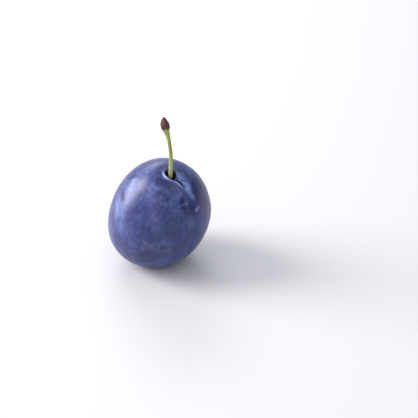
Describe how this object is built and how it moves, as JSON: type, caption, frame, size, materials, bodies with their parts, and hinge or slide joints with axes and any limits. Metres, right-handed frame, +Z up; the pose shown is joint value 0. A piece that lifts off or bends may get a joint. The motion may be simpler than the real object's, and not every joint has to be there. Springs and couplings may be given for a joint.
{
  "type": "plum",
  "caption": "Blue European plum, egg-shaped, with a stalk pit, a crease and a shallow seam, standing on a small flat spot with its green stalk on.",
  "frame": {"origin": "middle of the small flat spot that the fruit rests on", "axes": "+Z up, +X to the right and -Y to the front as the picture shows the fruit; the stalk end leans to the front right"},
  "size_m": [0.0423, 0.0416, 0.0682],
  "materials": {
    "skin": "blue-violet skin under a pale waxy bloom, softly glossy where the bloom is rubbed",
    "stalk": "green fresh stalk with a rough brown knob at its end"
  },
  "bodies": {
    "root": {"fruit": "skin", "stalk": "stalk"}
  },
  "joints": []
}
